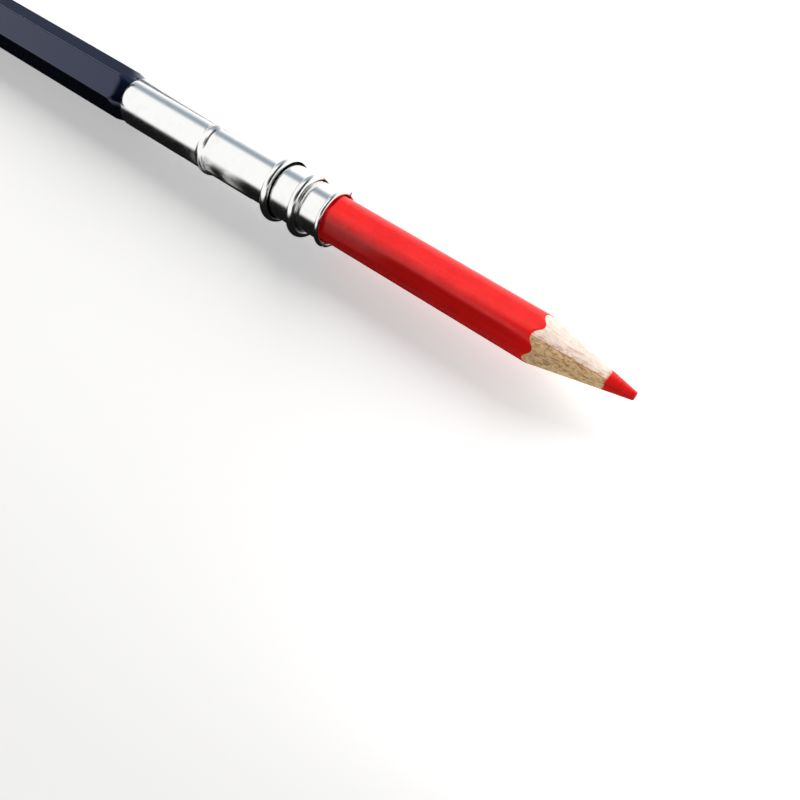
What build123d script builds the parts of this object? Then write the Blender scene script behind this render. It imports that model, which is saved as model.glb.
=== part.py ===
from build123d import *
import math
import os

# Pencil extender: a hexagonal wooden barrel, a sheet-metal clamp ferrule with two jaws, a
# slide ring that closes the jaws, and the coloured pencil that they hold.
# Millimetres. The axis lies along X with the pencil's tip toward +X, and Z is up. Pieces are
# modelled about the axis with x = 0 at the ferrule's rear edge, then moved by OFFSET_X, AXIS_Z.
# Turns are counted about the axis from straight up toward -Y.

# Pencil
PENCIL_FLATS = 7.2             # across flats, over the lacquer
PENCIL_CORNER_R = 2.3          # rounding of the six long edges
PENCIL_TURN = 4.0              # degrees, the long edge at the slats' seam from straight up
PENCIL_COAT = 0.12             # lacquer thickness
LEAD_D = 2.9
LEAD_GLUE = 0.02               # glue line around the lead
CONE_HALF_ANGLE = 10.8         # degrees, sharpened cone
TIP_D = 1.0                    # worn tip of the lead
TIP_ROUND = 0.25               # rounding of the worn tip
PENCIL_REACH = 50.6            # from the mouth of the clamp to the tip
PENCIL_SEAT = 20.3             # from the mouth of the clamp to the pencil's blunt end

# Clamp ferrule, drawn from sheet
SHEET = 0.18                   # wall of the ferrule
JAW_CLEARANCE = 0.03           # between the pencil's long edges and the jaws
FERRULE_LENGTH = 42.8          # rear edge to the middle of the rolled lip
LIP_ROLL_R = 0.61              # outside radius of the roll at the mouth
ROLL_OPEN = 55.0               # degrees of a roll that stay open above its wall
BEAD_X = 18.5                  # swaged bead, from the rear edge
BEAD_HEIGHT = 0.35
BEAD_WIDTH = 2.4
BEAD_BLEND_R = 0.8             # hollow at each foot of the bead, at mid-sheet
JAW_TURN = -86.0               # degrees, one slit from straight up
FLUTE_R = 2.8                  # radius of the pressed flute along each slit
FLUTE_DEPTH = 0.18
FLUTE_START_X = 29.2           # centre of the flute's round rear end
FLUTE_STOP = 4.5               # the flute's front end behind the middle of the lip
SLIT_WIDTH = 0.35
SLIT_ROOT_D = 0.8              # round root of each slit
DIMPLE_X = 13.4                # punched dimples that lock the ferrule to the tenon
DIMPLE_R = 1.0
DIMPLE_DEPTH = 0.20

# Slide ring
RING_CLEARANCE = 0.04          # running clearance on the jaws
RING_SHEET = 0.27
RING_ROLL_R = 0.65             # outside radius of the rolled rims
RIM_SPACING = 5.3              # between the middles of the two rims
RING_BACK = 4.9                # middle of the front rim behind the middle of the lip, at rest

# Barrel
BARREL_LENGTH = 70.0           # rear end to the ferrule's rear edge
BARREL_FLATS = 7.5             # across flats, over the lacquer
BARREL_CORNER_R = 0.8
BARREL_TURN = 30.0             # degrees, one long edge from straight up, so that a flat faces down
BARREL_COAT = 0.12             # lacquer thickness
BARREL_END_R = 1.6             # rounding of the rear end
SHOULDER_ANGLE = 14.0          # degrees, cone that pares the barrel down to the neck
NECK_DROP = 0.26               # neck at the ferrule's rear edge, below the flats
NECK_LENGTH = 1.0              # lacquered relief groove that the neck makes under the ferrule
TENON_LENGTH = 16.7
TENON_GLUE = 0.02              # glue line between tenon and ferrule

# Sizes that follow
CORNER_LOSS = 1.0 / math.cos(math.radians(30.0)) - 1.0
PENCIL_CORNER = PENCIL_FLATS / 2 * (1 + CORNER_LOSS) - PENCIL_CORNER_R * CORNER_LOSS
JAW_BORE_R = PENCIL_CORNER + JAW_CLEARANCE
TUBE_R = JAW_BORE_R + SHEET
RING_BORE_R = TUBE_R + RING_CLEARANCE
RIM_R = RING_BORE_R + 2 * RING_ROLL_R
RIM_FRONT_X = FERRULE_LENGTH - RING_BACK
TIP_X = FERRULE_LENGTH + PENCIL_REACH
CONE_SLOPE = math.tan(math.radians(CONE_HALF_ANGLE))
TENON_R = JAW_BORE_R - TENON_GLUE
OFFSET_X = (BARREL_LENGTH - TIP_X) / 2
AXIS_Z = RIM_R


def revolved(sketch):
    """Solid of revolution about the axis; the sketch has x along it and y as the radius."""
    return revolve(sketch, Axis.X, 360)


def bar(radius, x0, x1):
    """Round bar about the axis from x0 to x1."""
    return revolved(Pos((x0 + x1) / 2, radius / 2) * Rectangle(x1 - x0, radius))


def hexagon(flats, corner_r, turn, x0, x1):
    """Hexagonal bar with rounded long edges, one edge at the given turn from straight up."""
    outline = RegularPolygon(flats / 2, 6, major_radius=False, rotation=30)
    outline = fillet(outline.vertices(), corner_r)
    return Rot(X=turn) * Pos(x0, 0, 0) * extrude(Plane.YZ * outline, amount=x1 - x0)


def roll(path, radius, sheet):
    """Path of a sheet's edge rolled outward, on from the end of the given path."""
    return JernArc(path @ 1, path % 1, radius - sheet / 2, 360 - ROLL_OPEN)


def around_slits(shape):
    """The same shape at both slits."""
    return [Rot(X=JAW_TURN + k * 180) * shape for k in range(2)]


def flute(radius):
    """Long bar with round ends that presses one flute, at the top of the tube."""
    height = TUBE_R - FLUTE_DEPTH + FLUTE_R
    front_x = FERRULE_LENGTH - FLUTE_STOP
    ends = [Pos(x, 0, height) * Sphere(radius) for x in (FLUTE_START_X, front_x)]
    return Pos(0, 0, height) * bar(radius, FLUTE_START_X, front_x) + ends


def dimple(radius):
    """Ball that punches one dimple, at the top of the tube."""
    return Pos(DIMPLE_X, 0, TUBE_R - DIMPLE_DEPTH + DIMPLE_R) * Sphere(radius)


def make_ferrule():
    middle_r = JAW_BORE_R + SHEET / 2
    climb = 2 * math.degrees(math.atan(2 * BEAD_HEIGHT / BEAD_WIDTH))
    crown_r = BEAD_WIDTH / 2 / math.sin(math.radians(climb)) - BEAD_BLEND_R
    path = [Line((0, middle_r), (BEAD_X - BEAD_WIDTH / 2, middle_r))]
    for radius, turn in ((BEAD_BLEND_R, climb), (crown_r, -2 * climb), (BEAD_BLEND_R, climb)):
        path.append(JernArc(path[-1] @ 1, path[-1] % 1, radius, turn))
    path.append(Line(path[-1] @ 1, (FERRULE_LENGTH, middle_r)))
    path.append(roll(path[-1], LIP_ROLL_R, SHEET))
    ferrule = revolved(trace(path, SHEET))
    bore = bar(JAW_BORE_R, 0, FERRULE_LENGTH)
    pressed_in = flute(FLUTE_R + SHEET) + dimple(DIMPLE_R + SHEET)
    pressed_out = flute(FLUTE_R) + dimple(DIMPLE_R)
    length = FERRULE_LENGTH + 2 * LIP_ROLL_R - FLUTE_START_X
    slit = Pos(FLUTE_START_X + length / 2, 0, TUBE_R) * Box(length, SLIT_WIDTH, 2 * TUBE_R)
    slit += Pos(FLUTE_START_X, 0, TUBE_R) * Cylinder(SLIT_ROOT_D / 2, TUBE_R)
    for rib, press, cut in zip(*map(around_slits, (pressed_in, pressed_out, slit))):
        ferrule += rib & bore
        ferrule -= press
        ferrule -= cut
    return ferrule


def make_ring():
    middle_x = RIM_FRONT_X - RIM_SPACING / 2
    middle_r = RING_BORE_R + RING_SHEET / 2
    path = [Line((middle_x, middle_r), (RIM_FRONT_X, middle_r))]
    path.append(roll(path[-1], RING_ROLL_R, RING_SHEET))
    half = revolved(trace(path, RING_SHEET))
    return half + mirror(half, Plane.YZ.offset(middle_x))


def barrel_blank(inset):
    """The barrel as far as the lacquer goes, inset by the given thickness from its surface."""
    slope = math.tan(math.radians(SHOULDER_ANGLE))
    widest = BARREL_FLATS / 2 * (1 + CORNER_LOSS)
    neck = BARREL_FLATS / 2 - NECK_DROP - inset
    rear_x = inset - BARREL_LENGTH
    profile = Polygon((rear_x, 0), (rear_x, widest), (-(widest - neck) / slope, widest), (0, neck),
                      (NECK_LENGTH, neck), (NECK_LENGTH, 0), align=None)
    corner = profile.vertices().sort_by(Axis.X)[:2].sort_by(Axis.Y)[-1]
    profile = fillet(corner, BARREL_END_R + widest - BARREL_FLATS / 2 - inset)
    return barrel_hexagon(inset, rear_x, NECK_LENGTH) & revolved(profile)


def barrel_hexagon(inset, x0, x1):
    """The barrel's hexagonal bar, inset by the given thickness."""
    return hexagon(BARREL_FLATS - 2 * inset, BARREL_CORNER_R - inset, BARREL_TURN, x0, x1)


def make_barrel():
    core = barrel_blank(BARREL_COAT)
    coat = barrel_blank(0) - core
    tenon = bar(TENON_R, NECK_LENGTH, TENON_LENGTH)
    core += barrel_hexagon(BARREL_COAT, NECK_LENGTH, TENON_LENGTH) & tenon
    for ball in around_slits(dimple(DIMPLE_R + SHEET + TENON_GLUE)):
        core -= ball
    return core, coat


def make_pencil():
    rear_x = FERRULE_LENGTH - PENCIL_SEAT
    apex_x = TIP_X + TIP_D / 2 / CONE_SLOPE
    beyond_r = PENCIL_FLATS
    profile = Polygon((rear_x, 0), (rear_x, beyond_r), (apex_x - beyond_r / CONE_SLOPE, beyond_r),
                      (TIP_X, TIP_D / 2), (TIP_X, 0), align=None)
    tip_edge = profile.vertices().sort_by(Axis.X)[-2:].sort_by(Axis.Y)[-1]
    sharpened = revolved(fillet(tip_edge, TIP_ROUND))
    outside = hexagon(PENCIL_FLATS, PENCIL_CORNER_R, PENCIL_TURN, rear_x, TIP_X)
    inside = hexagon(PENCIL_FLATS - 2 * PENCIL_COAT, PENCIL_CORNER_R - PENCIL_COAT, PENCIL_TURN,
                     rear_x, TIP_X)
    lead = bar(LEAD_D / 2, rear_x, TIP_X) & sharpened
    casing = (inside - bar(LEAD_D / 2 + LEAD_GLUE, rear_x, TIP_X)) & sharpened
    coat = (outside - inside) & sharpened
    seam = Rot(X=PENCIL_TURN) * Plane.XZ
    slats = [split(casing, bisect_by=seam, keep=side) for side in (Keep.TOP, Keep.BOTTOM)]
    return lead, slats[0], slats[1], coat


barrel_core, barrel_lacquer = make_barrel()
pencil_lead, pencil_slat_left, pencil_slat_right, pencil_lacquer = make_pencil()
pieces = {
    "barrel_core": barrel_core,
    "barrel_lacquer": barrel_lacquer,
    "clamp_ferrule": make_ferrule(),
    "slide_ring": make_ring(),
    "pencil_lead": pencil_lead,
    "pencil_slat_left": pencil_slat_left,
    "pencil_slat_right": pencil_slat_right,
    "pencil_lacquer": pencil_lacquer,
}

os.makedirs("parts", exist_ok=True)
for name, piece in pieces.items():
    export_step(Pos(OFFSET_X, 0, AXIS_Z) * piece, "parts/" + name + ".step")
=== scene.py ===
import math

import bmesh
import bpy
from bpy.props import FloatProperty, FloatVectorProperty, IntProperty, PointerProperty
from mathutils import Matrix, Vector


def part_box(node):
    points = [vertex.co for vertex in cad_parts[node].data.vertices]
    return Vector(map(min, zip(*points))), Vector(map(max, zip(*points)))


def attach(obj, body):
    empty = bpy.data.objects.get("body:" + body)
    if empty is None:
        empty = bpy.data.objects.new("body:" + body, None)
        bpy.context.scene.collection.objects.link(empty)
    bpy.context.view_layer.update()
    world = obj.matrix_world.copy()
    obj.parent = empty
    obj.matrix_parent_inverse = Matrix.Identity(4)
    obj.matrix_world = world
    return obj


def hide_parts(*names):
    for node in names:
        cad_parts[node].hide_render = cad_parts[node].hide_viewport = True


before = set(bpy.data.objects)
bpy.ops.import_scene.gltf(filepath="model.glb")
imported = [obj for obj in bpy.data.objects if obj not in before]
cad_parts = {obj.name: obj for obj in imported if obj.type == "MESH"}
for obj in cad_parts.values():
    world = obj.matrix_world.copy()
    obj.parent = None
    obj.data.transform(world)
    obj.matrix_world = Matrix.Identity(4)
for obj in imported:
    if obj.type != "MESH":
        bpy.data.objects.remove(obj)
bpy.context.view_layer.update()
RING_LOW, RING_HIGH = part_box("slide_ring")
FERRULE_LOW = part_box("clamp_ferrule")[0]
BARREL_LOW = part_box("barrel_lacquer")[0]
PENCIL_REAR_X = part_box("pencil_lacquer")[0].x
PENCIL_TIP_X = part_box("pencil_lead")[1].x
RING_X = (RING_LOW.x + RING_HIGH.x) / 2
AXIS_Z = (RING_LOW.z + RING_HIGH.z) / 2
MM = 1000.0  # millimetres in a metre

bl_info = {
    "name": "Pencil extender",
    "version": (1, 0, 0),
    "blender": (4, 5, 0),
    "location": "3D View > Sidebar > Extender",
    "description": "Dresses a pencil extender in plated sheet metal, lacquer and wood, on a white table",
    "category": "Object",
}


def length(name, description, default):
    """Property that holds a length in metres."""
    return FloatProperty(name=name, description=description, default=default, precision=5, unit="LENGTH")


def angle(name, description, degrees):
    """Property that holds an angle, given here in degrees."""
    return FloatProperty(name=name, description=description, default=math.radians(degrees),
                         subtype="ANGLE")


def amount(name, description, default, unit="NONE"):
    """Property that holds a plain number or a power."""
    return FloatProperty(name=name, description=description, default=default, unit=unit)


def count_of(name, description, default, least):
    """Property that holds a whole number of steps."""
    return IntProperty(name=name, description=description, default=default, min=least)


def colour(name, description, default):
    """Property that holds a linear colour."""
    return FloatVectorProperty(name=name, description=description, default=default, min=0.0, max=1.0,
                               subtype="COLOR")


def place(name, description, default, subtype):
    """Property that holds a point or a direction."""
    return FloatVectorProperty(name=name, description=description, default=default, subtype=subtype,
                               precision=5)


class SheetMetalSizes(bpy.types.PropertyGroup):
    """Sizes of the drawn ferrule and of the slide ring."""

    axis_height: length("Axis height", "Height of the extender's axis", AXIS_Z)
    segments: count_of("Segments", "Steps around a turned piece", 192, 24)
    run_step: length("Run step", "Step along the straight walls", 0.00035)
    bend_step: angle("Bend step", "Step along a bend of the sheet", 11.0)
    lip_open: angle("Lip opening", "Part of the roll at the mouth that stays open above its wall", 55.0)
    rim_open: angle("Rim opening", "Part of the ring's rolled rims that stays open above the band", 98.0)
    ferrule_sheet: length("Ferrule sheet", "Wall of the ferrule", 0.00018)
    lip_roll: length("Lip roll", "Outside radius of the roll at the mouth", 0.00042)
    lip_from_rear: length("Lip place", "Middle of the roll at the mouth from the rear edge", 0.0426)
    bead_from_rear: length("Bead place", "Middle of the swaged bead from the rear edge", 0.0182)
    bead_height: length("Bead height", "Height of the swaged bead", 0.00035)
    bead_width: length("Bead width", "Width of the bead's crown and slopes", 0.0019)
    bead_blend: length("Bead blend", "Radius at each foot of the bead", 0.0005)
    jaw_turn: angle("Jaw turn", "Turn of the first slit from straight up", -86.0)
    flute_depth: length("Flute depth", "Depth of the pressed flute along each slit", 0.00018)
    flute_reach: angle("Flute reach", "Half of the angle that a flute takes up", 16.0)
    flute_from_rear: length("Flute start", "Start of the flutes and slits from the rear edge", 0.0292)
    flute_from_lip: length("Flute stop", "End of the flutes behind the middle of the lip", 0.0045)
    flute_ramp: length("Flute ramp", "Length over which a flute runs out", 0.0016)
    slit_width: length("Slit width", "Width of the two slits", 0.00035)
    slit_root: length("Slit root", "Radius of the round root of a slit", 0.0004)
    dimple_from_rear: length("Dimple place", "Punched dimples from the rear edge", 0.0134)
    dimple_reach: length("Dimple reach", "Radius of a punched dimple", 0.00075)
    dimple_depth: length("Dimple depth", "Depth of a punched dimple", 0.0002)
    ring_sheet: length("Ring sheet", "Wall of the slide ring", 0.00027)
    ring_roll: length("Ring roll", "Outside radius of the ring's rolled rims", 0.00065)
    ring_clearance: length("Ring clearance", "Running clearance of the ring on the jaws", 0.00004)
    unevenness: length("Unevenness", "Height of the gentle waves in the drawn metal", 0.000006)


class PencilSizes(bpy.types.PropertyGroup):
    """Sizes of the pencil."""

    flats: length("Flats", "Pencil across flats, over the lacquer", 0.0072)
    corner: length("Corner", "Rounding of the six long edges", 0.0023)
    turn: angle("Turn", "Long edge at the slats' seam from straight up", 2.0)
    coat: length("Coat", "Thickness of the lacquer", 0.00012)
    lead: length("Lead", "Diameter of the lead", 0.0028)
    glue: length("Glue", "Glue line around the lead", 0.00002)
    cone: angle("Cone", "Half of the sharpened cone's angle", 11.5)
    tip: length("Tip", "Diameter of the worn tip", 0.0012)
    tip_round: length("Tip rounding", "Rounding of the worn tip", 0.00025)
    steps: count_of("Steps", "Steps around the pencil", 180, 36)
    run_steps: count_of("Run steps", "Steps along each of the pencil's runs", 16, 2)


class ExtenderFinishes(bpy.types.PropertyGroup):
    """Colours of the finishes."""

    plate: colour("Plate", "Bright nickel plate", (0.965, 0.962, 0.95))
    plate_dull: colour("Dull plate", "Nickel plate where it is handled", (0.88, 0.875, 0.86))
    # Painted shade: the dark colour inside the rolled rims, where little light gets in.
    painted_roll_shade: colour("Inside of rolls", "Bare metal inside the rolled rims", (0.045, 0.043, 0.04))
    barrel_lacquer: colour("Barrel lacquer", "Black lacquer of the barrel", (0.004, 0.006, 0.019))
    barrel_gloss: colour("Barrel gloss", "Tint of reflections in the black lacquer", (0.58, 0.65, 1.0))
    pencil_lacquer: colour("Pencil lacquer", "Red lacquer of the pencil", (0.90, 0.012, 0.010))
    pencil_lacquer_deep: colour("Deep lacquer", "Red lacquer where it lies thick", (0.80, 0.007, 0.007))
    # Painted light and shade: both slats are one wood, the upper painted paler as lit from above and the
    # lower darker as shaded; the pale colour also tints the flecks.
    upper_slat_pale_and_lit: colour("Upper slat", "Pale wood of the upper slat", (1.0, 0.79, 0.69))
    lower_slat_shaded: colour("Lower slat", "Wood of the lower slat", (0.88, 0.61, 0.31))
    grain: colour("Grain", "Dark pores and lines in the pencil's wood", (0.30, 0.12, 0.045))
    chips: colour("Chips", "Torn wood along the slats' seam", (0.60, 0.25, 0.11))
    lead: colour("Lead", "Waxy red lead", (0.76, 0.010, 0.008))
    lead_deep: colour("Deep lead", "Lead where the sharpener pressed it", (0.62, 0.006, 0.006))
    barrel_wood: colour("Barrel wood", "Bare wood of the barrel's tenon", (0.66, 0.47, 0.28))


class StudioSettings(bpy.types.PropertyGroup):
    """White table, lamps, reflecting cards and camera."""

    floor: colour("Table", "White table", (0.93, 0.93, 0.93))
    floor_lift: amount("Table lift", "Light added to the table as the eye sees it near the object", 0.42)
    ambient: amount("Ambient", "Light from all around on matt surfaces", 0.08)
    key_power: amount("Key", "Power of the key lamp", 5.0, "POWER")
    tip_power: amount("Tip lamp", "Power of the small lamp by the tip", 0.013, "POWER")
    band_card: colour("Rear band", "Card that the metal shows as its blue-grey band", (0.30, 0.36, 0.42))
    dark_card: colour("Dark cards", "Cards that the metal shows as its dark side", (0.008, 0.008, 0.008))
    table_card: colour("Table card", "Dims the table in the barrel's upper flat", (0.12, 0.14, 0.17))
    overhead_card: colour("Overhead card", "Dims the top of the pencil's gloss", (0.25, 0.25, 0.26))
    camera_place: place("Camera", "Place of the camera", (0.093461, -0.003852, 0.115666), "TRANSLATION")
    camera_look: place("Look", "Direction of the view", (-0.33085, -0.11360, -0.93682), "DIRECTION")
    camera_up: place("Upright", "The picture's upper side", (-0.52269, 0.84860, 0.08170), "DIRECTION")
    lens: amount("Lens", "Focal length in millimetres for a 36 mm frame", 37.42)


class NodeBench:
    """Adds nodes to a tree. A value that is a socket is linked, and any other is set on the input."""

    def __init__(self, tree):
        self.tree = tree

    def add(self, kind, values=(), **settings):
        node = self.tree.nodes.new(kind)
        for key, value in settings.items():
            setattr(node, key, value)
        for key, value in dict(values).items():
            for item in value if isinstance(value, list) else [value]:
                self.give(node.inputs[key], item)
        return node

    def give(self, socket, value):
        if isinstance(value, bpy.types.NodeSocket):
            self.tree.links.new(value, socket)
        else:
            socket.default_value = value

    def math(self, operation, *values):
        return self.add("ShaderNodeMath", enumerate(values), operation=operation).outputs[0]

    def whole(self, operation, *values):
        return self.add("FunctionNodeIntegerMath", enumerate(values), operation=operation).outputs[0]

    def summed(self, *parts):
        """Sum of values, each with its weight."""
        total = 0.0
        for value, weight in parts:
            total = self.math("MULTIPLY_ADD", value, weight, total)
        return total

    def hypotenuse(self, first, second):
        """Distance made up of two parts at right angles."""
        squares = [self.math("POWER", part, 2.0) for part in (first, second)]
        return self.math("SQRT", self.math("ADD", *squares))

    def vector(self, x=0.0, y=0.0, z=0.0):
        return self.add("ShaderNodeCombineXYZ", {"X": x, "Y": y, "Z": z}).outputs[0]

    def parts(self, vector):
        return self.add("ShaderNodeSeparateXYZ", {"Vector": vector}).outputs

    def remap(self, value, from_min, from_max, to_min=0.0, to_max=1.0, kind="LINEAR"):
        values = {"Value": value, "From Min": from_min, "From Max": from_max,
                  "To Min": to_min, "To Max": to_max}
        return self.add("ShaderNodeMapRange", values, interpolation_type=kind).outputs["Result"]

    def soft(self, value, from_min, from_max, to_min=0.0, to_max=1.0):
        return self.remap(value, from_min, from_max, to_min, to_max, "SMOOTHSTEP")


class GeometryBench(NodeBench):
    """Geometry tree with named inputs, ended by realised instances and a material when one is given."""

    def __init__(self, name):
        super().__init__(bpy.data.node_groups.new(name, "GeometryNodeTree"))
        for way in ("INPUT", "OUTPUT"):
            self.tree.interface.new_socket("Geometry", in_out=way, socket_type="NodeSocketGeometry")

    def inputs(self, **kinds):
        for name, kind in kinds.items():
            self.tree.interface.new_socket(name, in_out="INPUT", socket_type="NodeSocket" + kind)
        return self.tree.nodes.new("NodeGroupInput").outputs

    def finish(self, geometry, material=None):
        if material is not None:
            geometry = self.add("GeometryNodeRealizeInstances", {"Geometry": geometry}).outputs[0]
            dressed = {"Geometry": geometry, "Material": material}
            geometry = self.add("GeometryNodeSetMaterial", dressed).outputs[0]
        self.add("NodeGroupOutput", {"Geometry": geometry})
        return self.tree


class SheetPath:
    """Line along the middle of a sheet, in a plane through the axis: x along it, y as the radius."""

    def __init__(self, x, radius, sizes):
        self.points = [Vector((x, radius))]
        self.heading = 0.0
        self.sizes = sizes

    def run_to(self, x):
        start = self.points[-1]
        count = max(1, round((x - start.x) / self.sizes.run_step))
        for k in range(1, count + 1):
            self.points.append(Vector((start.x + (x - start.x) * k / count, start.y)))

    def bend(self, radius, turn):
        """Carries on along an arc, outward for a positive turn."""
        count = max(2, math.ceil(abs(turn) / self.sizes.bend_step))
        side = math.copysign(radius, turn)
        centre = self.points[-1] + side * Vector((-math.sin(self.heading), math.cos(self.heading)))
        for k in range(1, count + 1):
            way = self.heading + turn * k / count
            self.points.append(centre - side * Vector((-math.sin(way), math.cos(way))))
        self.heading += turn

    def roll(self, radius, sheet, left_open):
        self.bend(radius - sheet / 2, 2 * math.pi - left_open)


def ring_bore(sizes):
    """Radius of the slide ring's bore."""
    return (RING_HIGH.z - RING_LOW.z) / 2 - 2 * sizes.ring_roll


EDGE_STEPS = 5


def sheet_section(points, sheet):
    """Closed outline of a sheet of even thickness along the points, with rounded edges."""
    half = sheet / 2
    last = len(points) - 1
    ways = [(points[min(k + 1, last)] - points[max(k - 1, 0)]).normalized() for k in range(last + 1)]
    sides = [Vector((-way.y, way.x)) for way in ways]
    outline = [point + half * side for point, side in zip(points, sides)]
    outline += rounded_edge(points[last], sides[last], ways[last], half)
    outline += [point - half * side for point, side in zip(reversed(points), reversed(sides))]
    outline += rounded_edge(points[0], -sides[0], -ways[0], half)
    return outline


def rounded_edge(centre, side, way, radius):
    """Half circle at the edge of a sheet, without its two end points."""
    turns = [math.pi * k / EDGE_STEPS for k in range(1, EDGE_STEPS)]
    return [centre + radius * (math.cos(turn) * side + math.sin(turn) * way) for turn in turns]


def new_object(name, data):
    """Object in the scene's own collection."""
    item = bpy.data.objects.new(name, data)
    bpy.context.scene.collection.objects.link(item)
    return item


def section_object(name, outline):
    """Object whose mesh is the closed outline that a tree turns about the axis."""
    mesh = bpy.data.meshes.new(name)
    count = len(outline)
    edges = [(k, (k + 1) % count) for k in range(count)]
    mesh.from_pydata([(point.x, point.y, 0.0) for point in outline], edges, [])
    return new_object(name, mesh)


MERGE = 1e-6  # metres
SEAL = 1e-7


def turning_tree():
    """Tree that turns a closed outline about the axis into a closed mesh."""
    bench = GeometryBench("sheet_turning")
    given = bench.inputs(Height="Float", Segments="Int")
    size = bench.add("GeometryNodeAttributeDomainSize", {"Geometry": given["Geometry"]})
    count = size.outputs["Point Count"]
    across = bench.whole("ADD", given["Segments"], 1)
    rows = bench.whole("ADD", count, 1)
    grid = bench.add("GeometryNodeMeshGrid", {"Vertices X": rows, "Vertices Y": across})
    index = bench.add("GeometryNodeInputIndex").outputs[0]
    row = bench.whole("MODULO", bench.whole("DIVIDE_FLOOR", index, across), count)
    column = bench.whole("MODULO", index, across)
    position = bench.add("GeometryNodeInputPosition").outputs[0]
    sample = bench.add("GeometryNodeSampleIndex",
                       {"Geometry": given["Geometry"], "Value": position, "Index": row},
                       data_type="FLOAT_VECTOR")
    x, radius, _ = bench.parts(sample.outputs["Value"])
    turn = bench.math("MULTIPLY", bench.math("DIVIDE", column, given["Segments"]), 2 * math.pi)
    side = bench.math("MULTIPLY", bench.math("SINE", turn), bench.math("MULTIPLY", radius, -1.0))
    height = bench.math("MULTIPLY_ADD", bench.math("COSINE", turn), radius, given["Height"])
    placed = bench.add("GeometryNodeSetPosition", {"Geometry": grid.outputs["Mesh"],
                                                   "Position": bench.vector(x, side, height)})
    merged = bench.add("GeometryNodeMergeByDistance", {"Geometry": placed.outputs[0], "Distance": MERGE})
    return bench.finish(merged.outputs[0])


def turned(bench, turning, given):
    """The turned mesh inside a piece's own tree."""
    group = bench.add("GeometryNodeGroup", node_tree=turning)
    for name in ("Geometry", "Height", "Segments"):
        bench.tree.links.new(given[name], group.inputs[name])
    return group.outputs[0]


WAVE_SCALE = 260.0


def uneven(bench, geometry, given):
    """Gentle waves that drawing leaves in sheet metal, pushed out from the axis."""
    waves = bench.add("ShaderNodeTexNoise", {"Scale": WAVE_SCALE, "Detail": 1.0}).outputs[0]
    height = bench.math("MULTIPLY", bench.remap(waves, 0.0, 1.0, -1.0, 1.0), given["Unevenness"])
    return pushed(bench, geometry, given, height)


def pushed(bench, geometry, given, distance):
    """Geometry with its points moved away from the axis by a distance."""
    position = bench.add("GeometryNodeInputPosition").outputs[0]
    _, y, z = bench.parts(position)
    outward = bench.vector(0.0, y, bench.math("SUBTRACT", z, given["Height"]))
    unit = bench.add("ShaderNodeVectorMath", {0: outward}, operation="NORMALIZE").outputs[0]
    offset = bench.add("ShaderNodeVectorMath", {0: unit, "Scale": distance}, operation="SCALE")
    values = {"Geometry": geometry, "Offset": offset.outputs[0]}
    return bench.add("GeometryNodeSetPosition", values).outputs[0]


CREASE = math.radians(40.0)


def smoothed(bench, geometry):
    """Smooth shading with creases only at sharp edges."""
    faces = bench.add("GeometryNodeSetShadeSmooth", {"Geometry": geometry}, domain="FACE").outputs[0]
    bend = bench.add("GeometryNodeInputMeshEdgeAngle").outputs["Unsigned Angle"]
    gentle = bench.math("LESS_THAN", bend, CREASE)
    return bench.add("GeometryNodeSetShadeSmooth", {"Geometry": faces, "Shade Smooth": gentle},
                     domain="EDGE").outputs[0]


def ring_tree(turning):
    """Slide ring: the turned outline with its gentle waves."""
    bench = GeometryBench("slide_ring_form")
    given = bench.inputs(Height="Float", Segments="Int", Unevenness="Float", Plate="Material")
    metal = uneven(bench, turned(bench, turning, given), given)
    return bench.finish(smoothed(bench, metal), given["Plate"])


FERRULE_SIZES = (
    "Height", "Unevenness", "Jaw_Turn", "Flute_Depth", "Flute_Reach", "Flute_Start", "Flute_End",
    "Flute_Ramp", "Dimple_Place", "Dimple_Reach", "Dimple_Depth", "Slit_Length", "Slit_Width",
    "Slit_Root", "Tube_Radius",
)
SLITS = 2
DRILL_SIDES = 32


def ferrule_tree(turning):
    """Ferrule: the turned outline with pressed flutes, punched dimples and two slits."""
    bench = GeometryBench("clamp_ferrule_form")
    given = bench.inputs(Segments="Int", Plate="Material", **dict.fromkeys(FERRULE_SIZES, "Float"))
    metal = uneven(bench, turned(bench, turning, given), given)
    x, y, z = bench.parts(bench.add("GeometryNodeInputPosition").outputs[0])
    above = bench.math("SUBTRACT", z, given["Height"])
    turn = bench.math("ARCTAN2", bench.math("MULTIPLY", y, -1.0), above)
    spacing = math.pi / SLITS
    off = bench.math("SUBTRACT", turn, given["Jaw_Turn"])
    off = bench.math("ABSOLUTE", bench.math("WRAP", off, spacing, -spacing))
    flute = bench.soft(off, given["Flute_Reach"], 0.0)
    start = bench.math("SUBTRACT", given["Flute_Start"], given["Flute_Ramp"])
    end = bench.math("ADD", given["Flute_End"], given["Flute_Ramp"])
    flute = bench.math("MULTIPLY", flute, bench.soft(x, start, given["Flute_Start"]))
    flute = bench.math("MULTIPLY", flute, bench.soft(x, end, given["Flute_End"]))
    along = bench.math("SUBTRACT", x, given["Dimple_Place"])
    away = bench.hypotenuse(along, bench.math("MULTIPLY", off, given["Tube_Radius"]))
    dimple = bench.math("MULTIPLY", bench.soft(away, given["Dimple_Reach"], 0.0), given["Dimple_Depth"])
    depth = bench.math("MULTIPLY_ADD", flute, given["Flute_Depth"], dimple)
    metal = pushed(bench, metal, given, bench.math("MULTIPLY", depth, -1.0))
    cut = bench.add("GeometryNodeMeshBoolean", {"Mesh 1": metal, "Mesh 2": slit_cutters(bench, given)},
                    operation="DIFFERENCE", solver="EXACT")
    return bench.finish(smoothed(bench, cut.outputs["Mesh"]), given["Plate"])


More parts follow.
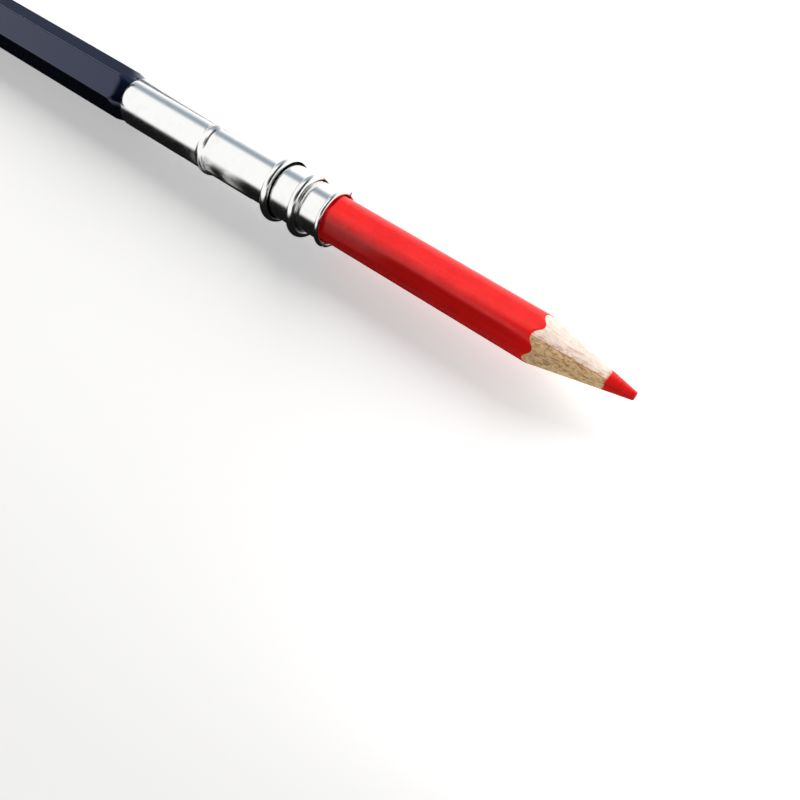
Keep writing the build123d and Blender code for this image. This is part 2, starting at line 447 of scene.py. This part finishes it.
def slit_cutters(bench, given):
    """Saw blades and root drills at each slit, as two realised geometries."""
    radius = given["Tube_Radius"]
    tall = bench.math("MULTIPLY", radius, 2.0)
    middle = bench.math("MULTIPLY_ADD", given["Slit_Length"], 0.5, given["Flute_Start"])
    size = bench.vector(given["Slit_Length"], given["Slit_Width"], tall)
    blade = bench.add("GeometryNodeMeshCube", {"Size": size})
    drill = bench.add("GeometryNodeMeshCylinder",
                      {"Vertices": DRILL_SIDES, "Radius": given["Slit_Root"], "Depth": tall})
    stations = bench.add("GeometryNodeMeshLine",
                         {"Count": SLITS, "Offset": (0.0, 0.0, 0.0),
                          "Start Location": bench.vector(z=given["Height"])}).outputs[0]
    index = bench.add("GeometryNodeInputIndex").outputs[0]
    turn = bench.math("MULTIPLY_ADD", index, 2 * math.pi / SLITS, given["Jaw_Turn"])
    rotation = bench.add("FunctionNodeEulerToRotation", {"Euler": bench.vector(turn)}).outputs[0]
    cutters = []
    for tool, x in ((blade, middle), (drill, given["Flute_Start"])):
        values = {"Geometry": tool.outputs["Mesh"], "Translation": bench.vector(x, 0.0, radius)}
        moved = bench.add("GeometryNodeTransform", values).outputs[0]
        spread = bench.add("GeometryNodeInstanceOnPoints",
                           {"Points": stations, "Instance": moved, "Rotation": rotation}).outputs[0]
        cutters.append(bench.add("GeometryNodeRealizeInstances", {"Geometry": spread}).outputs[0])
    return cutters


def formed(piece, tree, values):
    """Runs a tree on a piece with its inputs set, and keeps the result as the piece's plain mesh."""
    form = piece.modifiers.new("form", "NODES")
    form.node_group = tree
    for item in tree.interface.items_tree:
        if item.in_out == "INPUT" and item.name in values:
            form[item.identifier] = values[item.name]
    bpy.context.view_layer.update()
    evaluated = piece.evaluated_get(bpy.context.evaluated_depsgraph_get())
    mesh = bpy.data.meshes.new_from_object(evaluated)
    piece.modifiers.clear()
    mesh.name = piece.name
    piece.data = mesh
    if not mesh.polygons:
        raise RuntimeError(piece.name + " came out empty")
    sealed(piece)
    return piece


def sealed(piece):
    """Merges a piece's doubles, turns its faces outward and makes sure that it is closed."""
    shell = bmesh.new()
    shell.from_mesh(piece.data)
    bmesh.ops.remove_doubles(shell, verts=shell.verts, dist=SEAL)
    bmesh.ops.delete(shell, geom=[edge for edge in shell.edges if edge.is_wire], context="EDGES")
    bmesh.ops.recalc_face_normals(shell, faces=shell.faces)
    loose = [edge for edge in shell.edges if not edge.is_manifold]
    shell.to_mesh(piece.data)
    shell.free()
    if loose:
        raise RuntimeError(piece.name + " isn't closed")


SIXTH = math.pi / 3


def hexagon_radius(half_flats, corner, way):
    """Distance from the axis to a hexagon with rounded corners, at an angle from one of the corners."""
    off = abs((way + SIXTH / 2) % SIXTH - SIXTH / 2)
    centre = (half_flats - corner) / math.cos(SIXTH / 2)
    reach = math.atan2(corner * math.sin(SIXTH / 2), centre + corner * math.cos(SIXTH / 2))
    if off < reach:
        return centre * math.cos(off) + math.sqrt(corner ** 2 - (centre * math.sin(off)) ** 2)
    return half_flats / math.cos(SIXTH / 2 - off)


def spaced(first, last, count):
    """Even steps from one value to another, both included."""
    return [first + (last - first) * k / count for k in range(count + 1)]


class PencilForm:
    """Outlines of the pencil's pieces at an angle from the long edge, in x along the axis and radius."""

    def __init__(self, sizes):
        self.sizes = sizes
        self.bore = sizes.lead / 2 + sizes.glue

    def cut_x(self, radius):
        """Place where the sharpened cone has the given radius."""
        return PENCIL_TIP_X + (self.sizes.tip / 2 - radius) / math.tan(self.sizes.cone)

    def run(self, radius):
        """Line from the blunt end to the cone."""
        return [(x, radius) for x in spaced(PENCIL_REAR_X, self.cut_x(radius), self.sizes.run_steps)]

    def slope(self, first, last):
        """Line down the cone between two radii, without its ends."""
        radii = spaced(first, last, self.sizes.run_steps)[1:-1]
        return [(self.cut_x(radius), radius) for radius in radii]

    def wood_radius(self, way):
        coat = self.sizes.coat
        return hexagon_radius(self.sizes.flats / 2 - coat, self.sizes.corner - coat, way)

    def coat(self, way):
        outside = hexagon_radius(self.sizes.flats / 2, self.sizes.corner, way)
        return self.run(outside) + self.run(self.wood_radius(way))[::-1]

    def slat(self, way):
        outside = self.wood_radius(way)
        return self.run(outside) + self.slope(outside, self.bore) + self.run(self.bore)[::-1]

    def lead(self, way):
        sizes = self.sizes
        outside = sizes.lead / 2
        radius = sizes.tip_round
        middle_x = PENCIL_TIP_X - radius
        middle = sizes.tip / 2 - radius * (1 - math.sin(sizes.cone)) / math.cos(sizes.cone)
        rounding = [(middle_x + radius * math.sin(bend), middle + radius * math.cos(bend))
                    for bend in spaced(sizes.cone, math.pi / 2, EDGE_STEPS)]
        cone = self.slope(outside, rounding[0][1])
        return [(PENCIL_REAR_X, 0.0)] + self.run(outside) + cone + rounding + [(PENCIL_TIP_X, 0.0)]


def skinned(name, outline, ways, turn, material):
    """Closed mesh over one outline at each angle about the axis, capped unless it goes all round."""
    rings = [outline(way) for way in ways]
    across = len(rings[0])
    points = [(x, -radius * math.sin(way + turn), AXIS_Z + radius * math.cos(way + turn))
              for way, ring in zip(ways, rings) for x, radius in ring]
    faces = []
    for near in range(0, (len(ways) - 1) * across, across):
        far = near + across
        for j in range(across):
            beside = (j + 1) % across
            faces.append((near + j, near + beside, far + beside, far + j))
    if ways[-1] - ways[0] < 2 * math.pi - MERGE:
        faces += [tuple(range(across)), tuple(range(len(points) - across, len(points)))]
    mesh = bpy.data.meshes.new(name)
    mesh.from_pydata(points, [], faces)
    mesh.materials.append(material)
    piece = new_object(name, mesh)
    sealed(piece)
    mesh.shade_smooth()
    mesh.set_sharp_from_angle(angle=CREASE)
    return piece


def cleared_tree(owner):
    """Empty node tree of a material or a world."""
    owner.use_nodes = True
    owner.node_tree.nodes.clear()
    return owner.node_tree


# The mix node has a socket of each name for each kind of value, so those for colours go by number.
MIX_FACTOR = 0
MIX_COLOURS = (6, 7)
MIX_RESULT = 2
NOISE_LOW = 0.3
NOISE_HIGH = 0.7


class FinishBench(NodeBench):
    """Material with a Principled shader, patterned in millimetres about the axis.

    A shift moves the pattern along the axis, so that two like pieces don't share it.
    """

    def __init__(self, name, shift=0.0):
        self.material = bpy.data.materials.new(name)
        super().__init__(cleared_tree(self.material))
        self.shader = self.add("ShaderNodeBsdfPrincipled")
        self.add("ShaderNodeOutputMaterial", {"Surface": self.shader.outputs[0]})
        coordinates = self.add("ShaderNodeTexCoord").outputs["Object"]
        self.mm = self.mapped(coordinates, Location=(0.0, 0.0, -MM * AXIS_Z), Scale=(MM, MM, MM))
        self.pattern = self.mapped(self.mm, Location=(shift, 0.0, 0.0))

    def mapped(self, vector, **values):
        return self.add("ShaderNodeMapping", {"Vector": vector, **values}).outputs[0]

    def noise(self, waves, detail=2.0, roughness=0.5):
        """Noise with a number of waves per millimetre, or with three numbers along x, y and z."""
        values = {"Vector": self.pattern, "Scale": waves, "Detail": detail, "Roughness": roughness}
        if isinstance(waves, tuple):
            values.update({"Vector": self.mapped(self.pattern, Scale=waves), "Scale": 1.0})
        return self.add("ShaderNodeTexNoise", values).outputs[0]

    def spread(self, value, low, high):
        """Noise spread from one value to another over its usual range."""
        return self.remap(value, NOISE_LOW, NOISE_HIGH, low, high)

    def cutter_lines(self, waves, detail):
        """Noise that changes only along the axis, as a blade leaves it on a piece that turns."""
        values = {"W": self.parts(self.mm)[0], "Scale": waves, "Detail": detail}
        return self.add("ShaderNodeTexNoise", values, noise_dimensions="1D").outputs[0]

    def blended(self, factor, first, second):
        """Mix of two colours; a property's colour gets its alpha here."""
        mix = self.add("ShaderNodeMix", {MIX_FACTOR: factor}, data_type="RGBA")
        for index, shade in zip(MIX_COLOURS, (first, second)):
            linked = isinstance(shade, bpy.types.NodeSocket)
            self.give(mix.inputs[index], shade if linked else (*shade, 1.0))
        return mix.outputs[MIX_RESULT]

    def feed(self, **sources):
        """Links or sets the shader's inputs, with spaces written as underscores."""
        for name, source in sources.items():
            self.give(self.shader.inputs[name.replace("_", " ")], source)

    def relief(self, *parts, height):
        """Bump of the given height in metres, from values with their weights."""
        values = {"Height": self.summed(*parts), "Distance": height, "Strength": 1.0}
        self.feed(Normal=self.add("ShaderNodeBump", values).outputs[0])


def toned(base, factor):
    """Colour made lighter or darker by a factor."""
    return tuple(min(1.0, factor * part) for part in base)


SHADE_FROM = 0.05  # millimetres outside the radius where the painted shade starts
SHADE_FULL = 0.03  # millimetres inside it where the painted shade is full


def shaded_rolls(bench, plate, shade_colour, places, radius, bore):
    """Plate that gives way to painted shade inside rolled rims, where little light gets in.

    The rolls are given in millimetres: the places of their middles along the axis, the radius of
    their middles about the axis and the radius inside which a roll is painted in shade.
    """
    x, y, z = bench.parts(bench.mm)
    about = bench.math("SUBTRACT", bench.hypotenuse(y, z), radius)
    for place_x in places:
        away = bench.hypotenuse(bench.math("SUBTRACT", x, place_x), about)
        plate = bench.blended(bench.soft(away, bore + SHADE_FROM, bore - SHADE_FULL), plate, shade_colour)
    return plate


def plate_finish(name, finishes, shift=0.0, rolls=None):
    """Bright nickel plate: drawing lines along the axis, haze, small scratches, painted shade in its
    rolls.
    """
    bench = FinishBench(name, shift)
    lines = bench.noise(waves=(0.12, 5.0, 5.0), detail=3.0)
    haze = bench.noise(waves=0.55, detail=4.0)
    scratches = bench.noise(waves=(7.0, 0.5, 2.2))
    worn = bench.soft(haze, 0.50, 0.74, to_max=0.5)
    plate = bench.blended(worn, finishes.plate, finishes.plate_dull)
    # Painted shade inside the rolled rims.
    if rolls:
        plate = shaded_rolls(bench, plate, finishes.painted_roll_shade, *rolls)
    gloss = bench.spread(haze, 0.14, 0.20)
    marks = bench.soft(scratches, 0.66, 0.74, to_max=0.10)
    bench.feed(Base_Color=plate, Roughness=bench.math("ADD", gloss, marks), Metallic=1.0)
    bench.relief((scratches, 0.4), (lines, 0.6), height=0.0000012)
    return bench.material


DUST_LIFT = 6.0


def black_finish(finishes):
    """Black lacquer, a little wavy, with dust under the gloss."""
    bench = FinishBench("black_lacquer_finish")
    cloud = bench.noise(waves=0.35, detail=3.0)
    dust = bench.noise(waves=5.5, detail=1.0)
    ripples = bench.noise(waves=(0.25, 0.8, 0.8))
    specks = bench.soft(dust, 0.74, 0.80, to_max=0.6)
    base = finishes.barrel_lacquer
    bench.feed(Base_Color=bench.blended(specks, base, toned(base, DUST_LIFT)),
               Roughness=bench.spread(cloud, 0.09, 0.17),
               Specular_IOR_Level=0.85, Specular_Tint=(*finishes.barrel_gloss, 1.0))
    bench.relief((ripples, 1.0), (dust, 0.12), height=0.000012)
    return bench.material


def red_finish(finishes):
    """Red lacquer over wood: faint grain telegraphing through, thin and thick places, gloss."""
    bench = FinishBench("red_lacquer_finish")
    grain = bench.noise(waves=(0.16, 2.6, 2.6), detail=4.0)
    cloud = bench.noise(waves=0.45, detail=3.0)
    dust = bench.noise(waves=4.5, detail=1.0)
    thick = bench.remap(bench.summed((cloud, 0.5), (grain, 0.5)), 0.38, 0.62)
    gloss = bench.spread(cloud, 0.20, 0.30)
    marks = bench.soft(dust, 0.72, 0.78, to_max=0.15)
    bench.feed(Base_Color=bench.blended(thick, finishes.pencil_lacquer, finishes.pencil_lacquer_deep),
               Roughness=bench.math("ADD", gloss, marks))
    bench.relief((grain, 1.0), (dust, 0.15), height=0.000008)
    return bench.material


LIGHT_WOOD = 1.10
DARK_WOOD = 0.80
# Millimetres
SEAM_HALF = 0.09
SEAM_WANDER = 0.07
SEAM_NEAR = 1.0
STAIN_REACH = 0.45


def cone_wood(name, body, finishes, density, stain_x, seam_turn):
    """Sharpened slat: pores and lines along the grain, cutter marks, the seam and colour from the lead.

    A denser slat has more and darker pores, and the lengths are in millimetres.
    """
    bench = FinishBench(name)
    fibre = bench.noise(waves=(0.10, 3.2, 3.2), detail=5.0, roughness=0.6)
    pores = bench.noise(waves=(1.1, 6.5, 6.5))
    flecks = bench.noise(waves=(2.4, 5.0, 5.0), detail=1.0)
    chips = bench.noise(waves=(1.3, 3.4, 3.4), detail=3.0)
    blotches = bench.noise(waves=(0.9, 2.3, 2.3), detail=3.0, roughness=0.6)
    bleed = bench.noise(waves=(0.8, 1.7, 1.7), detail=3.0, roughness=0.6)
    wood = bench.blended(bench.remap(fibre, 0.35, 0.65), toned(body, LIGHT_WOOD), toned(body, DARK_WOOD))
    dark = bench.soft(pores, 0.66 - 0.14 * density, 0.76 - 0.08 * density, to_max=0.35 + 0.4 * density)
    wood = bench.blended(dark, wood, finishes.grain)
    pale = bench.soft(flecks, 0.60, 0.72, to_max=0.45 * density)
    # Pale flecks take the upper slat's colour, which is painted lighter as lit.
    wood = bench.blended(pale, wood, finishes.upper_slat_pale_and_lit)
    x, y, z = bench.parts(bench.mm)
    across = bench.summed((z, math.sin(seam_turn)), (y, math.cos(seam_turn)))
    near = bench.soft(bench.math("ABSOLUTE", across), SEAM_NEAR, 0.0)
    torn = bench.math("MULTIPLY", bench.soft(chips, 0.48, 0.62, to_max=0.8), near)
    wood = bench.blended(torn, wood, finishes.chips)
    spots = bench.soft(blotches, 0.52, 0.66, to_max=0.75 * density)
    wood = bench.blended(spots, wood, finishes.grain)
    ragged = bench.summed((across, 1.0), (bench.spread(pores, -1.0, 1.0), SEAM_WANDER))
    seam = bench.soft(bench.math("ABSOLUTE", ragged), SEAM_HALF, 0.0, to_max=0.75)
    wood = bench.blended(seam, wood, finishes.grain)
    edge = bench.summed((x, 1.0), (bench.spread(bleed, -1.0, 1.0), STAIN_REACH))
    stain = bench.soft(edge, stain_x - STAIN_REACH, stain_x, to_max=0.9)
    bench.feed(Base_Color=bench.blended(stain, wood, finishes.lead),
               Roughness=bench.spread(fibre, 0.52, 0.72), Specular_IOR_Level=0.3)
    cutter = bench.cutter_lines(waves=3.4, detail=3.0)
    bench.relief((pores, -0.7), (cutter, 0.5), (fibre, 0.4), height=0.00003)
    return bench.material


def lead_finish(finishes):
    """Waxy coloured lead with the sharpener's rings and a little crumbling."""
    bench = FinishBench("red_lead_finish")
    rings = bench.cutter_lines(waves=2.6, detail=3.0)
    crumbs = bench.noise(waves=4.0, detail=3.0)
    pressed = bench.remap(bench.summed((crumbs, 0.5), (rings, 0.5)), 0.38, 0.62)
    bench.feed(Base_Color=bench.blended(pressed, finishes.lead, finishes.lead_deep),
               Roughness=bench.spread(crumbs, 0.28, 0.46))
    bench.relief((crumbs, 1.0), (rings, 0.3), height=0.000007)
    return bench.material


DARK_TENON = 0.72


def barrel_wood_finish(finishes):
    """Turned wood of the barrel's core, with grain along it and lathe lines across."""
    bench = FinishBench("barrel_wood_finish")
    fibre = bench.noise(waves=(0.08, 2.4, 2.4), detail=4.0)
    pores = bench.noise(waves=(0.8, 7.0, 7.0))
    base = finishes.barrel_wood
    wood = bench.blended(bench.remap(fibre, 0.35, 0.65), base, toned(base, DARK_TENON))
    wood = bench.blended(bench.soft(pores, 0.62, 0.72, to_max=0.5), wood, finishes.grain)
    bench.feed(Base_Color=wood, Roughness=bench.spread(pores, 0.55, 0.75))
    lathe = bench.cutter_lines(waves=4.0, detail=2.0)
    bench.relief((lathe, 1.0), (fibre, 0.5), height=0.00002)
    return bench.material


def dress(node, material):
    """Gives a CAD node its finish."""
    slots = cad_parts[node].data.materials
    slots.clear()
    slots.append(material)


class EXTENDER_OT_barrel(bpy.types.Operator):
    """Finish the lacquered barrel and its wooden core"""

    bl_idname = "extender.barrel"
    bl_label = "Barrel"

    def execute(self, context):
        finishes = context.scene.extender_finishes
        dress("barrel_lacquer", black_finish(finishes))
        dress("barrel_core", barrel_wood_finish(finishes))
        return {"FINISHED"}


class EXTENDER_OT_ferrule(bpy.types.Operator):
    """Form the clamp ferrule from its outline"""

    bl_idname = "extender.ferrule"
    bl_label = "Clamp ferrule"

    def execute(self, context):
        sizes = context.scene.extender_sizes
        rear_x = FERRULE_LOW.x
        lip_x = rear_x + sizes.lip_from_rear
        tube_radius = ring_bore(sizes) - sizes.ring_clearance
        path = SheetPath(rear_x + sizes.ferrule_sheet / 2, tube_radius - sizes.ferrule_sheet / 2, sizes)
        path.run_to(rear_x + sizes.bead_from_rear - sizes.bead_width / 2)
        climb = 2 * math.atan(2 * sizes.bead_height / sizes.bead_width)
        crown = sizes.bead_width / 2 / math.sin(climb) - sizes.bead_blend
        for radius, turn in ((sizes.bead_blend, climb), (crown, -2 * climb), (sizes.bead_blend, climb)):
            path.bend(radius, turn)
        path.run_to(lip_x)
        path.roll(sizes.lip_roll, sizes.ferrule_sheet, sizes.lip_open)
        piece = section_object("ferrule_metal", sheet_section(path.points, sizes.ferrule_sheet))
        flute_x = rear_x + sizes.flute_from_rear
        formed(piece, ferrule_tree(turning_tree()), {
            "Height": sizes.axis_height, "Segments": sizes.segments, "Unevenness": sizes.unevenness,
            "Jaw_Turn": sizes.jaw_turn, "Flute_Depth": sizes.flute_depth,
            "Flute_Reach": sizes.flute_reach, "Flute_Start": flute_x,
            "Flute_End": lip_x - sizes.flute_from_lip, "Flute_Ramp": sizes.flute_ramp,
            "Dimple_Place": rear_x + sizes.dimple_from_rear, "Dimple_Reach": sizes.dimple_reach,
            "Dimple_Depth": sizes.dimple_depth, "Slit_Length": lip_x + 2 * sizes.lip_roll - flute_x,
            "Slit_Width": sizes.slit_width, "Slit_Root": sizes.slit_root, "Tube_Radius": tube_radius,
            "Plate": plate_finish("ferrule_plate_finish", context.scene.extender_finishes),
        })
        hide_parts("clamp_ferrule")
        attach(piece, "handle")
        return {"FINISHED"}


RING_SHIFT = 37.0


class EXTENDER_OT_ring(bpy.types.Operator):
    """Form the slide ring from its outline"""

    bl_idname = "extender.ring"
    bl_label = "Slide ring"

    def execute(self, context):
        sizes = context.scene.extender_sizes
        bore = ring_bore(sizes)
        rims = (RING_LOW.x + sizes.ring_roll, RING_HIGH.x - sizes.ring_roll)
        path = SheetPath(RING_X, bore + sizes.ring_sheet / 2, sizes)
        path.run_to(rims[1])
        path.roll(sizes.ring_roll, sizes.ring_sheet, sizes.rim_open)
        rear = [Vector((2 * RING_X - point.x, point.y)) for point in path.points[:0:-1]]
        piece = section_object("ring_metal", sheet_section(rear + path.points, sizes.ring_sheet))
        # Where the plate is painted in shade inside the rolled rims, in millimetres.
        rolls = ([MM * x for x in rims], MM * (bore + sizes.ring_roll),
                 MM * (sizes.ring_roll - sizes.ring_sheet / 2))
        plate = plate_finish("ring_plate_finish", context.scene.extender_finishes, RING_SHIFT, rolls)
        formed(piece, ring_tree(turning_tree()), {
            "Height": sizes.axis_height, "Segments": sizes.segments, "Unevenness": sizes.unevenness,
            "Plate": plate,
        })
        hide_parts("slide_ring")
        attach(piece, "slide_ring")
        return {"FINISHED"}


LOWER_DENSITY = 1.0
UPPER_DENSITY = 0.25


class EXTENDER_OT_pencil(bpy.types.Operator):
    """Form the pencil's lacquer, wood and lead"""

    bl_idname = "extender.pencil"
    bl_label = "Pencil"

    def execute(self, context):
        sizes = context.scene.extender_pencil
        finishes = context.scene.extender_finishes
        form = PencilForm(sizes)
        seam = (MM * form.cut_x(form.bore), sizes.turn)
        slats = ("pencil_slat_left", "pencil_slat_right")
        lower, upper = sorted(slats, key=lambda node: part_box(node)[1].y)
        # The upper slat's colour is painted light and the lower slat's painted shade.
        shaded_lower_wood = cone_wood("lower_slat_finish", finishes.lower_slat_shaded, finishes, LOWER_DENSITY, *seam)
        lit_upper_wood = cone_wood("upper_slat_finish", finishes.upper_slat_pale_and_lit, finishes, UPPER_DENSITY, *seam)
        paint = red_finish(finishes)
        half = math.pi
        whole = 2 * math.pi
        for name, node, slot, outline, start, end, material in (
                ("pencil_paint", "pencil_lacquer", "red_lacquer", form.coat, 0.0, whole, paint),
                ("lower_slat", lower, "pencil_wood", form.slat, 0.0, half, shaded_lower_wood),
                ("upper_slat", upper, "pencil_wood", form.slat, half, whole, lit_upper_wood),
                ("lead_core", "pencil_lead", "red_lead", form.lead, 0.0, whole, lead_finish(finishes))):
            steps = round(sizes.steps * (end - start) / whole)
            piece = skinned(name, outline, spaced(start, end, steps), sizes.turn, material)
            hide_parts(node)
            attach(piece, "pencil")
        return {"FINISHED"}


def plain_mesh(name, corners):
    """Flat four-cornered sheet for the stage, with its own map from corner to corner."""
    mesh = bpy.data.meshes.new(name)
    mesh.from_pydata(corners, [], [(0, 1, 2, 3)])
    corner_map = mesh.uv_layers.new(name="corners")
    for loop, spot in zip(corner_map.data, oblong(0.0, 1.0, 0.0, 1.0)):
        loop.uv = spot
    sheet = new_object(name, mesh)
    return sheet


def oblong(left, right, near, far):
    """Corners of an oblong in its own plane."""
    return [(left, near), (right, near), (right, far), (left, far)]


def level(left, right, near, far, z):
    """Corners of a level sheet."""
    return [(x, y, z) for x, y in oblong(left, right, near, far)]


def upright(left, right, low, high, y):
    """Corners of an upright sheet along the extender."""
    return [(x, y, z) for x, z in oblong(left, right, low, high)]


LAMP_TINT = (1.0, 0.99, 0.97)


def lamp(name, where, aim_x, size, power):
    """Square soft box that lights matt surfaces and isn't seen in reflections."""
    light = bpy.data.lights.new(name, "AREA")
    light.size = size
    light.energy = power
    light.color = LAMP_TINT
    holder = new_object(name, light)
    turn = (Vector((aim_x, 0.0, AXIS_Z)) - Vector(where)).to_track_quat("-Z", "Y")
    holder.matrix_world = Matrix.Translation(where) @ turn.to_matrix().to_4x4()
    holder.visible_glossy = False


FADE_LEAST = 0.0001


def card(name, corners, tone, along=(0.0, 0.0), across=(0.0, 0.0)):
    """Card that only reflections show, fading out over a share of its size at each of its sides.

    The shares are for the start and the end along its first edge, and then across it.
    """
    sheet = plain_mesh(name, corners)
    material = bpy.data.materials.new(name + "_tone")
    bench = NodeBench(cleared_tree(material))
    spot = bench.parts(bench.add("ShaderNodeTexCoord").outputs["UV"])
    strength = 1.0
    for way, (start, end) in zip(spot, (along, across)):
        strength = bench.math("MULTIPLY", bench.soft(way, 0.0, max(start, FADE_LEAST)), strength)
        strength = bench.math("MULTIPLY", bench.soft(way, 1.0, 1.0 - max(end, FADE_LEAST)), strength)
    glow = bench.add("ShaderNodeEmission", {"Color": (*tone, 1.0)}).outputs[0]
    clear = bench.add("ShaderNodeBsdfTransparent").outputs[0]
    mixed = bench.add("ShaderNodeMixShader", {0: strength, 1: clear, 2: glow})
    bench.add("ShaderNodeOutputMaterial", {"Surface": mixed.outputs[0]})
    material.cycles.emission_sampling = "NONE"
    sheet.data.materials.append(material)
    for ray in ("camera", "diffuse", "transmission", "volume_scatter", "shadow"):
        setattr(sheet, "visible_" + ray, False)


def seen_directly(bench):
    """One for the eye's own rays and for those that metal or glass sends on, else nought."""
    path = bench.add("ShaderNodeLightPath").outputs
    seen = bench.math("MAXIMUM", path["Is Camera Ray"], path["Is Glossy Ray"])
    return bench.math("MAXIMUM", seen, path["Is Transmission Ray"])


WHITE = (1.0, 1.0, 1.0, 1.0)


def white_world(ambient):
    """White all round for the eye and for reflections, and a softer level on matt surfaces."""
    world = bpy.data.worlds.new("white_room")
    bench = NodeBench(cleared_tree(world))
    level_seen = bench.remap(seen_directly(bench), 0.0, 1.0, ambient, 1.0)
    world.cycles.sampling_method = "NONE"
    room = bench.add("ShaderNodeBackground", {"Color": WHITE, "Strength": level_seen})
    bench.add("ShaderNodeOutputWorld", {"Surface": room.outputs[0]})
    bpy.context.scene.world = world


SHADOW_REACH = 100.0  # millimetres from the object's middle
WHITE_FROM = 260.0
TABLE_CLOUDS = 0.02
DARK_TABLE = 0.985


def table_finish(studio):
    """White table, lifted to white for the eye and reflections, with the shadow kept near the object."""
    bench = FinishBench("table_white")
    tone = bench.blended(bench.noise(TABLE_CLOUDS), studio.floor, toned(studio.floor, DARK_TABLE))
    x, y, _ = bench.parts(bench.mm)
    lift = bench.soft(bench.hypotenuse(x, y), SHADOW_REACH, WHITE_FROM, studio.floor_lift, 1.0)
    bench.feed(Base_Color=tone, Roughness=0.8, Specular_IOR_Level=0.1, Emission_Color=WHITE,
               Emission_Strength=bench.math("MULTIPLY", seen_directly(bench), lift))
    bench.material.cycles.emission_sampling = "NONE"
    return bench.material


TABLE_REACH = 3.0
TABLE_SLOPE = (BARREL_LOW.z - RING_LOW.z) / (RING_X - BARREL_LOW.x)


def on_table(left, right, near, far, lift=0.0):
    """Corners of a sheet along the table, which touches the ring and the barrel's rear end."""
    return [(x, y, (RING_X - x) * TABLE_SLOPE + lift) for x, y in oblong(left, right, near, far)]


# Name, left and right end, shares that fade at the two ends, share that fades at the top
SIDE_CARDS = (
    ("side_left_card", -0.100, 0.0040, (0.0, 0.05), 0.25),
    ("side_middle_card", -0.0100, 0.0165, (0.1, 0.1), 0.5),
    ("side_right_card", 0.0070, 0.100, (0.05, 0.0), 0.25),
)
SHOULDER_Z = AXIS_Z + 0.0043


def set_cards(studio):
    """Cards that give the metal and the lacquer something dark or grey to mirror."""
    dark = studio.dark_card
    card("rear_band_card", upright(left=-0.60, right=0.50, low=0.02, high=0.34, y=0.30),
         studio.band_card, across=(0.35, 0.45))
    for name, left, right, along, top_fade in SIDE_CARDS:
        card(name, upright(left, right, low=0.0, high=0.014, y=-0.009), dark, along, (0.0, top_fade))
    card("side_pencil_card", upright(left=0.033, right=0.100, low=0.0, high=0.026, y=-0.010), dark,
         along=(0.1, 0.0), across=(0.0, 0.35))
    card("under_dark_card", level(left=-0.10, right=0.10, near=-0.009, far=-0.001, z=0.0017), dark,
         across=(0.0, 0.4))
    card("table_dim_card", on_table(left=-0.20, right=-0.0222, near=0.003, far=0.08, lift=0.0003),
         studio.table_card, along=(0.0, 0.015), across=(0.0, 0.3))
    card("front_dark_card", level(left=0.06, right=0.45, near=-0.10, far=0.50, z=0.16), dark,
         along=(0.06, 0.2), across=(0.1, 0.5))
    card("shoulder_dark_card", level(left=FERRULE_LOW.x - 0.0034, right=FERRULE_LOW.x - 0.0003,
                                     near=-0.0033, far=0.0033, z=SHOULDER_Z), dark,
         along=(0.4, 0.0), across=(0.03, 0.03))
    card("overhead_dim_card", level(left=0.0, right=0.07, near=-0.05, far=0.05, z=0.15),
         studio.overhead_card, along=(0.3, 0.0), across=(0.3, 0.3))


FRAME_WIDTH = 36.0
NEAREST = 0.01


def set_camera(studio):
    """Camera at the photograph's view."""
    camera = bpy.data.cameras.new("photo_camera")
    camera.lens = studio.lens
    camera.sensor_width = FRAME_WIDTH
    camera.clip_start = NEAREST
    holder = new_object("photo_camera", camera)
    look = Vector(studio.camera_look).normalized()
    right = look.cross(Vector(studio.camera_up)).normalized()
    turn = Matrix((right, right.cross(look), -look)).transposed()
    holder.matrix_world = Matrix.Translation(studio.camera_place) @ turn.to_4x4()
    bpy.context.scene.camera = holder


class EXTENDER_OT_stage(bpy.types.Operator):
    """Set the white table, the lamps, the cards and the camera"""

    bl_idname = "extender.stage"
    bl_label = "Stage"

    def execute(self, context):
        studio = context.scene.extender_studio
        table = plain_mesh("table", on_table(-TABLE_REACH, TABLE_REACH, -TABLE_REACH, TABLE_REACH))
        table.data.materials.append(table_finish(studio))
        white_world(studio.ambient)
        lamp("key_lamp", where=(-0.05, 0.52, 0.305), aim_x=0.02, size=0.45, power=studio.key_power)
        lamp("tip_lamp", where=(0.105, -0.035, 0.030), aim_x=0.072, size=0.03, power=studio.tip_power)
        set_cards(studio)
        set_camera(studio)
        context.scene.view_settings.view_transform = "Standard"
        return {"FINISHED"}


OPERATORS = (EXTENDER_OT_barrel, EXTENDER_OT_ferrule, EXTENDER_OT_ring, EXTENDER_OT_pencil,
             EXTENDER_OT_stage)


class EXTENDER_PT_panel(bpy.types.Panel):
    """Lists the operators and the settings"""

    bl_idname = "EXTENDER_PT_panel"
    bl_label = "Pencil extender"
    bl_space_type = "VIEW_3D"
    bl_region_type = "UI"
    bl_category = "Extender"

    def draw(self, context):
        for operator in OPERATORS:
            self.layout.operator(operator.bl_idname)
        for group in SETTINGS:
            settings = getattr(context.scene, group)
            for name in settings.__annotations__:
                self.layout.prop(settings, name)


CLASSES = (SheetMetalSizes, PencilSizes, ExtenderFinishes, StudioSettings, *OPERATORS, EXTENDER_PT_panel)
SETTINGS = {
    "extender_sizes": SheetMetalSizes,
    "extender_pencil": PencilSizes,
    "extender_finishes": ExtenderFinishes,
    "extender_studio": StudioSettings,
}


def register():
    for item in CLASSES:
        bpy.utils.register_class(item)
    for name, group in SETTINGS.items():
        setattr(bpy.types.Scene, name, PointerProperty(type=group))


def unregister():
    for name in SETTINGS:
        delattr(bpy.types.Scene, name)
    for item in reversed(CLASSES):
        bpy.utils.unregister_class(item)


def main():
    register()
    bpy.ops.extender.barrel()
    bpy.ops.extender.ferrule()
    bpy.ops.extender.ring()
    bpy.ops.extender.pencil()
    bpy.ops.extender.stage()


if __name__ == "__main__":
    main()
